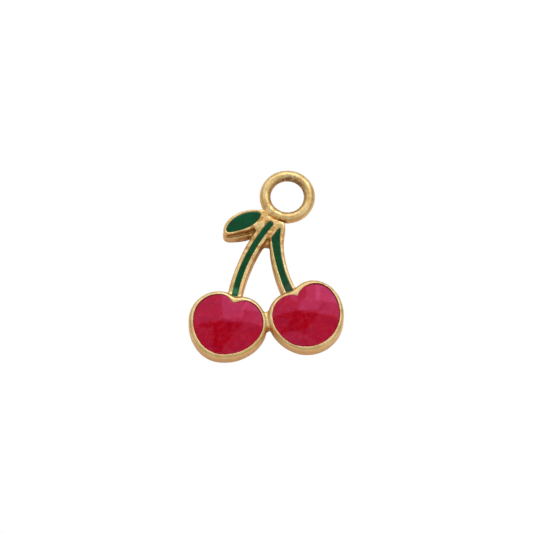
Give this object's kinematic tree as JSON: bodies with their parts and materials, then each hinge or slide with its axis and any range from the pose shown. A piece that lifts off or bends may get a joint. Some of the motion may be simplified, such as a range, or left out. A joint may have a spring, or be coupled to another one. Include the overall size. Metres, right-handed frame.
{
  "type": "enamelled cherry charm",
  "caption": "Flat-backed cast metal charm shaped as cherries with stems and a leaf, filled with red and green enamel, with a soldered hanging ring.",
  "frame": {"origin": "bottom centre of the bounding box, on the plane of the charm's flat back", "axes": "+Z out of the enamelled front, +Y towards the hanging ring, +X across the charm towards the higher cherry"},
  "size_m": [0.0122, 0.0168, 0.0018],
  "materials": {
    "gold_metal": "bright gold plating over a cast surface, slightly rough where it was not polished",
    "red_enamel": "glossy cold enamel, gently domed",
    "green_enamel": "glossy cold enamel"
  },
  "bodies": {
    "root": {"charm_body": "gold_metal", "hanging_ring": "gold_metal", "left_cherry_enamel": "red_enamel", "right_cherry_enamel": "red_enamel", "left_stem_enamel": "green_enamel", "right_stem_enamel": "green_enamel", "leaf_enamel": "green_enamel"}
  },
  "joints": []
}
